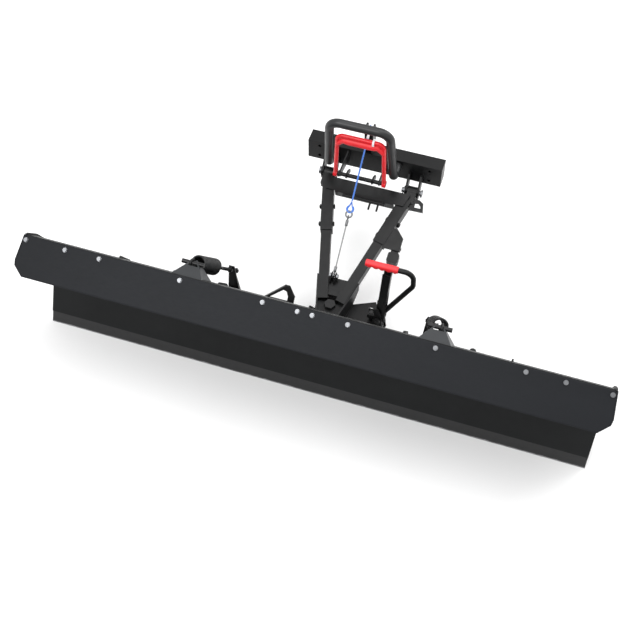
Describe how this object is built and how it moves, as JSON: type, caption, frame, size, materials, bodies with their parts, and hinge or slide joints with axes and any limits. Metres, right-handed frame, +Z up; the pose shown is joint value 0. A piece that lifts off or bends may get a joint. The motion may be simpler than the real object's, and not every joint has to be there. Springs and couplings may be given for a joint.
{
  "type": "atv plow blade",
  "caption": "Snow plow for a utility vehicle: curved moldboard with a rubber flap, spring trip, swinging crossmember, A-shaped push frame, lift cable and quick-release mount.",
  "frame": {"origin": "centre of the mount crossbar's four-bolt pattern", "axes": "+Z up, +X along the blade to the right as seen from the front, +Y rearward towards the vehicle"},
  "size_m": [2.104, 1.019, 0.685],
  "materials": {
    "frame_paint": "satin powder coat",
    "moldboard_paint": "satin powder coat",
    "wear_steel": "satin, scuffed at the edge",
    "flap_rubber": "smooth matte",
    "zinc": "bright zinc",
    "bare_plate": "dull grey",
    "spring_steel": "semi-gloss black",
    "hoop_paint": "semi-gloss",
    "red_plastic": "moulded",
    "red_paint": "gloss",
    "cable_wire": "stranded",
    "rope_blue": "braided",
    "rope_sleeve": "smooth",
    "blue_anodised": "anodised look"
  },
  "bodies": {
    "hitch": {"mount_crossbar": "frame_paint", "mount_caps": "frame_paint", "mount_ears": "frame_paint", "hitch_pins": "zinc", "hoop": "hoop_paint", "latch_arms": "frame_paint", "rope_post": "frame_paint", "rope_bolt": "spring_steel"},
    "push_frame": {"front_tube_left": "frame_paint", "front_tube_right": "frame_paint", "rear_tube_left": "frame_paint", "rear_tube_right": "frame_paint", "rear_cross_plate": "frame_paint", "stow_rod": "frame_paint", "tie_loop": "frame_paint", "side_bolts": "spring_steel", "nose_box": "frame_paint", "sector_plate": "frame_paint", "kingpin": "spring_steel", "cable_anchor": "frame_paint", "anchor_bolt": "zinc", "stand_bracket": "frame_paint", "lift_cable": "cable_wire", "cable_ends": "cable_wire", "line_link": "zinc", "rope_thimble": "blue_anodised", "winch_rope": "rope_blue", "rope_ends": "rope_sleeve"},
    "parking_stand": {"parking_stand": "frame_paint"},
    "release": {"latch_shaft": "frame_paint", "release_handle": "red_paint", "release_grip": "red_plastic"},
    "swing_frame": {"crossmember": "frame_paint", "trip_arms": "frame_paint", "spring_posts": "frame_paint", "eyebolts": "spring_steel", "loop_bracket": "frame_paint", "lever_post": "frame_paint", "lever_pivot_bolt": "spring_steel"},
    "angle_lever": {"angle_lever": "frame_paint", "lever_grip": "red_plastic"},
    "lock_pin": {"lock_pin": "spring_steel"},
    "moldboard": {"moldboard_sheet": "moldboard_paint", "wear_bar": "wear_steel", "wear_bar_bolts": "moldboard_paint", "rubber_flap": "flap_rubber", "flap_bolts": "zinc", "blade_nuts": "zinc", "rear_stiffener": "moldboard_paint", "end_ribs": "moldboard_paint", "middle_ribs": "moldboard_paint", "pivot_ribs": "moldboard_paint", "blade_pins": "spring_steel", "spring_gussets": "bare_plate", "skid_sockets": "moldboard_paint", "trip_spring_left": "spring_steel", "trip_spring_right": "spring_steel"},
    "skid_left": {"skid_shoe_left": "frame_paint"},
    "skid_right": {"skid_shoe_right": "frame_paint"}
  },
  "joints": [
    {"name": "lift", "type": "hinge", "parent": "hitch", "child": "push_frame", "pos_m": [0, -0.096, -0.068], "axis": [-1, 0, 0], "range_deg": [0, 22], "deforming": ["lift_cable", "cable_ends", "line_link", "rope_thimble", "winch_rope", "rope_ends"]},
    {"name": "release_handle", "type": "hinge", "parent": "hitch", "child": "release", "pos_m": [-0.025, -0.172, 0.022], "axis": [1, 0, 0], "range_deg": [0, 50], "stiffness_Nm_per_rad": 1.2, "springref_deg": -28.65},
    {"name": "stand_fold", "type": "hinge", "parent": "push_frame", "child": "parking_stand", "pos_m": [0.145, -0.33959, -0.12887], "axis": [1, 0, 0], "range_deg": [0, 100]},
    {"name": "swing", "type": "hinge", "parent": "push_frame", "child": "swing_frame", "pos_m": [0, -0.62, -0.28], "axis": [0, 0, 1], "range_deg": [-28, 28]},
    {"name": "lever", "type": "hinge", "parent": "swing_frame", "child": "angle_lever", "pos_m": [0.19, -0.62, -0.184], "axis": [0, 1, 0], "range_deg": [-14, 0]},
    {"name": "lock", "type": "slide", "parent": "swing_frame", "child": "lock_pin", "axis": [0, 0, 1], "range_m": [-0.0074, 0]},
    {"name": "trip", "type": "hinge", "parent": "swing_frame", "child": "moldboard", "pos_m": [0, -0.788, -0.288], "axis": [1, 0, 0], "range_deg": [0, 30], "stiffness_Nm_per_rad": 500, "springref_deg": -14.32, "deforming": ["trip_spring_left", "trip_spring_right"]},
    {"name": "skid_left_slide", "type": "slide", "parent": "moldboard", "child": "skid_left", "axis": [0, 0, 1], "range_m": [0, 0.04]},
    {"name": "skid_right_slide", "type": "slide", "parent": "moldboard", "child": "skid_right", "axis": [0, 0, 1], "range_m": [0, 0.04]}
  ],
  "couplings": [
    {"joint": "lock", "follows": "lever", "m_per_rad": 0.03}
  ]
}
